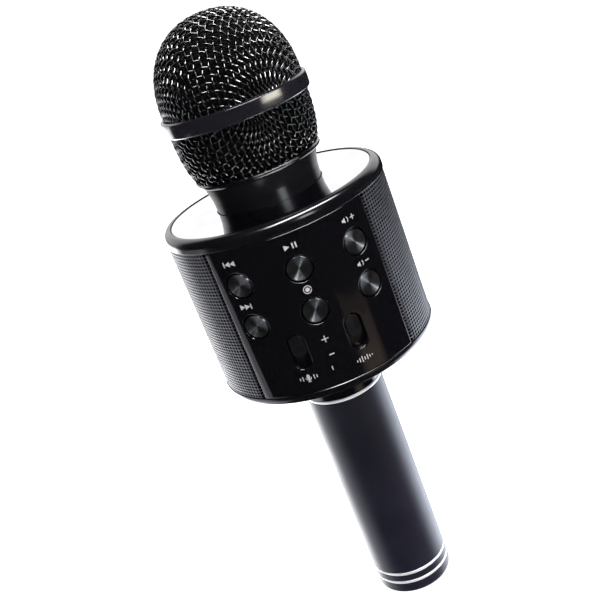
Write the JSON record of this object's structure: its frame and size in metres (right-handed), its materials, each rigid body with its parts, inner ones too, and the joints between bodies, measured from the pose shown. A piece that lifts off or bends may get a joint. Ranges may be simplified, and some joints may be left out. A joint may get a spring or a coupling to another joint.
{
  "type": "karaoke microphone",
  "caption": "Handheld karaoke microphone with a domed wire grille, a round loudspeaker housing with push buttons and sliders, and a straight handle.",
  "frame": {"origin": "centre of the flat foot at the end of the handle, where the microphone stands", "axes": "+Z along the microphone's axis towards the top of the grille, the control panel faces -Y, +X is to the right of the panel as it is read"},
  "size_m": [0.082, 0.082, 0.238],
  "materials": {
    "wire_mesh": "gloss black painted steel wire and sheet",
    "gloss_black": "polished black moulding",
    "panel_gloss": "polished black panel with light grey printed marks",
    "mirror_plate": "mirror-bright plate",
    "foam": "open-cell black foam",
    "rubber": "soft black rubber",
    "steel": "plain bright steel",
    "spun_metal": "dark spun metal with circular turning marks",
    "slider_black": "smooth black moulding",
    "inner_plastic": "plain black moulding",
    "cone_paper": "black pressed paper",
    "circuit_board": "green solder mask",
    "satin_black": "fine satin black coating with a slight blue cast",
    "bright_trim": "polished bright ring",
    "cell_wrap": "blue shrink wrap",
    "lamp": "clear lamp lens"
  },
  "bodies": {
    "housing": {"capsule_cartridge": "steel", "capsule_cradle": "rubber", "capsule_lead": "rubber", "neck": "gloss_black", "neck_screw_1": "steel", "neck_screw_2": "steel", "top_rim": "gloss_black", "top_mirror_plate": "mirror_plate", "bottom_rim": "gloss_black", "front_panel": "panel_gloss", "left_speaker_grille": "wire_mesh", "right_speaker_grille": "wire_mesh", "rear_spine": "gloss_black", "speaker_frame": "inner_plastic", "left_speaker_basket": "steel", "left_speaker_magnet": "steel", "left_speaker_cone": "cone_paper", "right_speaker_basket": "steel", "right_speaker_magnet": "steel", "right_speaker_cone": "cone_paper", "control_board": "circuit_board", "previous_switch": "steel", "next_switch": "steel", "scan_switch": "steel", "record_switch": "steel", "volume_up_switch": "steel", "volume_down_switch": "steel", "microphone_volume_potentiometer": "slider_black", "effect_potentiometer": "slider_black", "bottom_plate": "gloss_black", "charging_socket": "steel", "audio_socket": "slider_black", "card_slot": "steel", "power_switch_body": "steel", "status_lamp": "lamp", "handle_collar": "gloss_black", "handle_top_ring": "bright_trim", "handle_tube": "satin_black", "handle_end_ring": "bright_trim", "battery_sleeve": "inner_plastic", "battery_contact": "steel"},
    "grille": {"grille_dome": "wire_mesh", "grille_band": "gloss_black", "grille_bowl": "wire_mesh", "grille_collar": "gloss_black", "foam_windscreen": "foam"},
    "end_cap_unit": {"end_cap": "satin_black", "end_cap_ring": "bright_trim", "battery_spring": "steel", "battery": "cell_wrap"},
    "power_knob": {"power_switch_knob": "slider_black"},
    "microphone_volume_knob": {"microphone_volume_slider": "slider_black"},
    "effect_knob": {"effect_slider": "slider_black"},
    "previous_key": {"previous_button": "spun_metal"},
    "next_key": {"next_button": "spun_metal"},
    "scan_key": {"scan_button": "spun_metal"},
    "record_key": {"record_button": "spun_metal"},
    "volume_up_key": {"volume_up_button": "spun_metal"},
    "volume_down_key": {"volume_down_button": "spun_metal"}
  },
  "joints": [
    {"name": "grille_lift", "type": "slide", "parent": "housing", "child": "grille", "axis": [0, 0, 1], "range_m": [0, 0.045]},
    {"name": "end_cap_pull", "type": "slide", "parent": "housing", "child": "end_cap_unit", "axis": [0, 0, 1], "range_m": [-0.072, 0]},
    {"name": "power_slide", "type": "slide", "parent": "housing", "child": "power_knob", "axis": [0, 1, 0], "range_m": [0, 0.0026]},
    {"name": "microphone_volume_slide", "type": "slide", "parent": "housing", "child": "microphone_volume_knob", "axis": [0, 0, 1], "range_m": [-0.004, 0]},
    {"name": "effect_slide", "type": "slide", "parent": "housing", "child": "effect_knob", "axis": [0, 0, 1], "range_m": [-0.004, 0]},
    {"name": "previous_press", "type": "slide", "parent": "housing", "child": "previous_key", "axis": [-0.5, -0.866, 0], "range_m": [-0.0005, 0], "stiffness_N_per_m": 1500, "springref_m": 0.0002},
    {"name": "next_press", "type": "slide", "parent": "housing", "child": "next_key", "axis": [-0.5, -0.866, 0], "range_m": [-0.0005, 0], "stiffness_N_per_m": 1500, "springref_m": 0.0002},
    {"name": "scan_press", "type": "slide", "parent": "housing", "child": "scan_key", "axis": [0, -1, 0], "range_m": [-0.0005, 0], "stiffness_N_per_m": 1500, "springref_m": 0.0002},
    {"name": "record_press", "type": "slide", "parent": "housing", "child": "record_key", "axis": [0, -1, 0], "range_m": [-0.0005, 0], "stiffness_N_per_m": 1500, "springref_m": 0.0002},
    {"name": "volume_up_press", "type": "slide", "parent": "housing", "child": "volume_up_key", "axis": [0.5, -0.866, 0], "range_m": [-0.0005, 0], "stiffness_N_per_m": 1500, "springref_m": 0.0002},
    {"name": "volume_down_press", "type": "slide", "parent": "housing", "child": "volume_down_key", "axis": [0.5, -0.866, 0], "range_m": [-0.0005, 0], "stiffness_N_per_m": 1500, "springref_m": 0.0002}
  ]
}
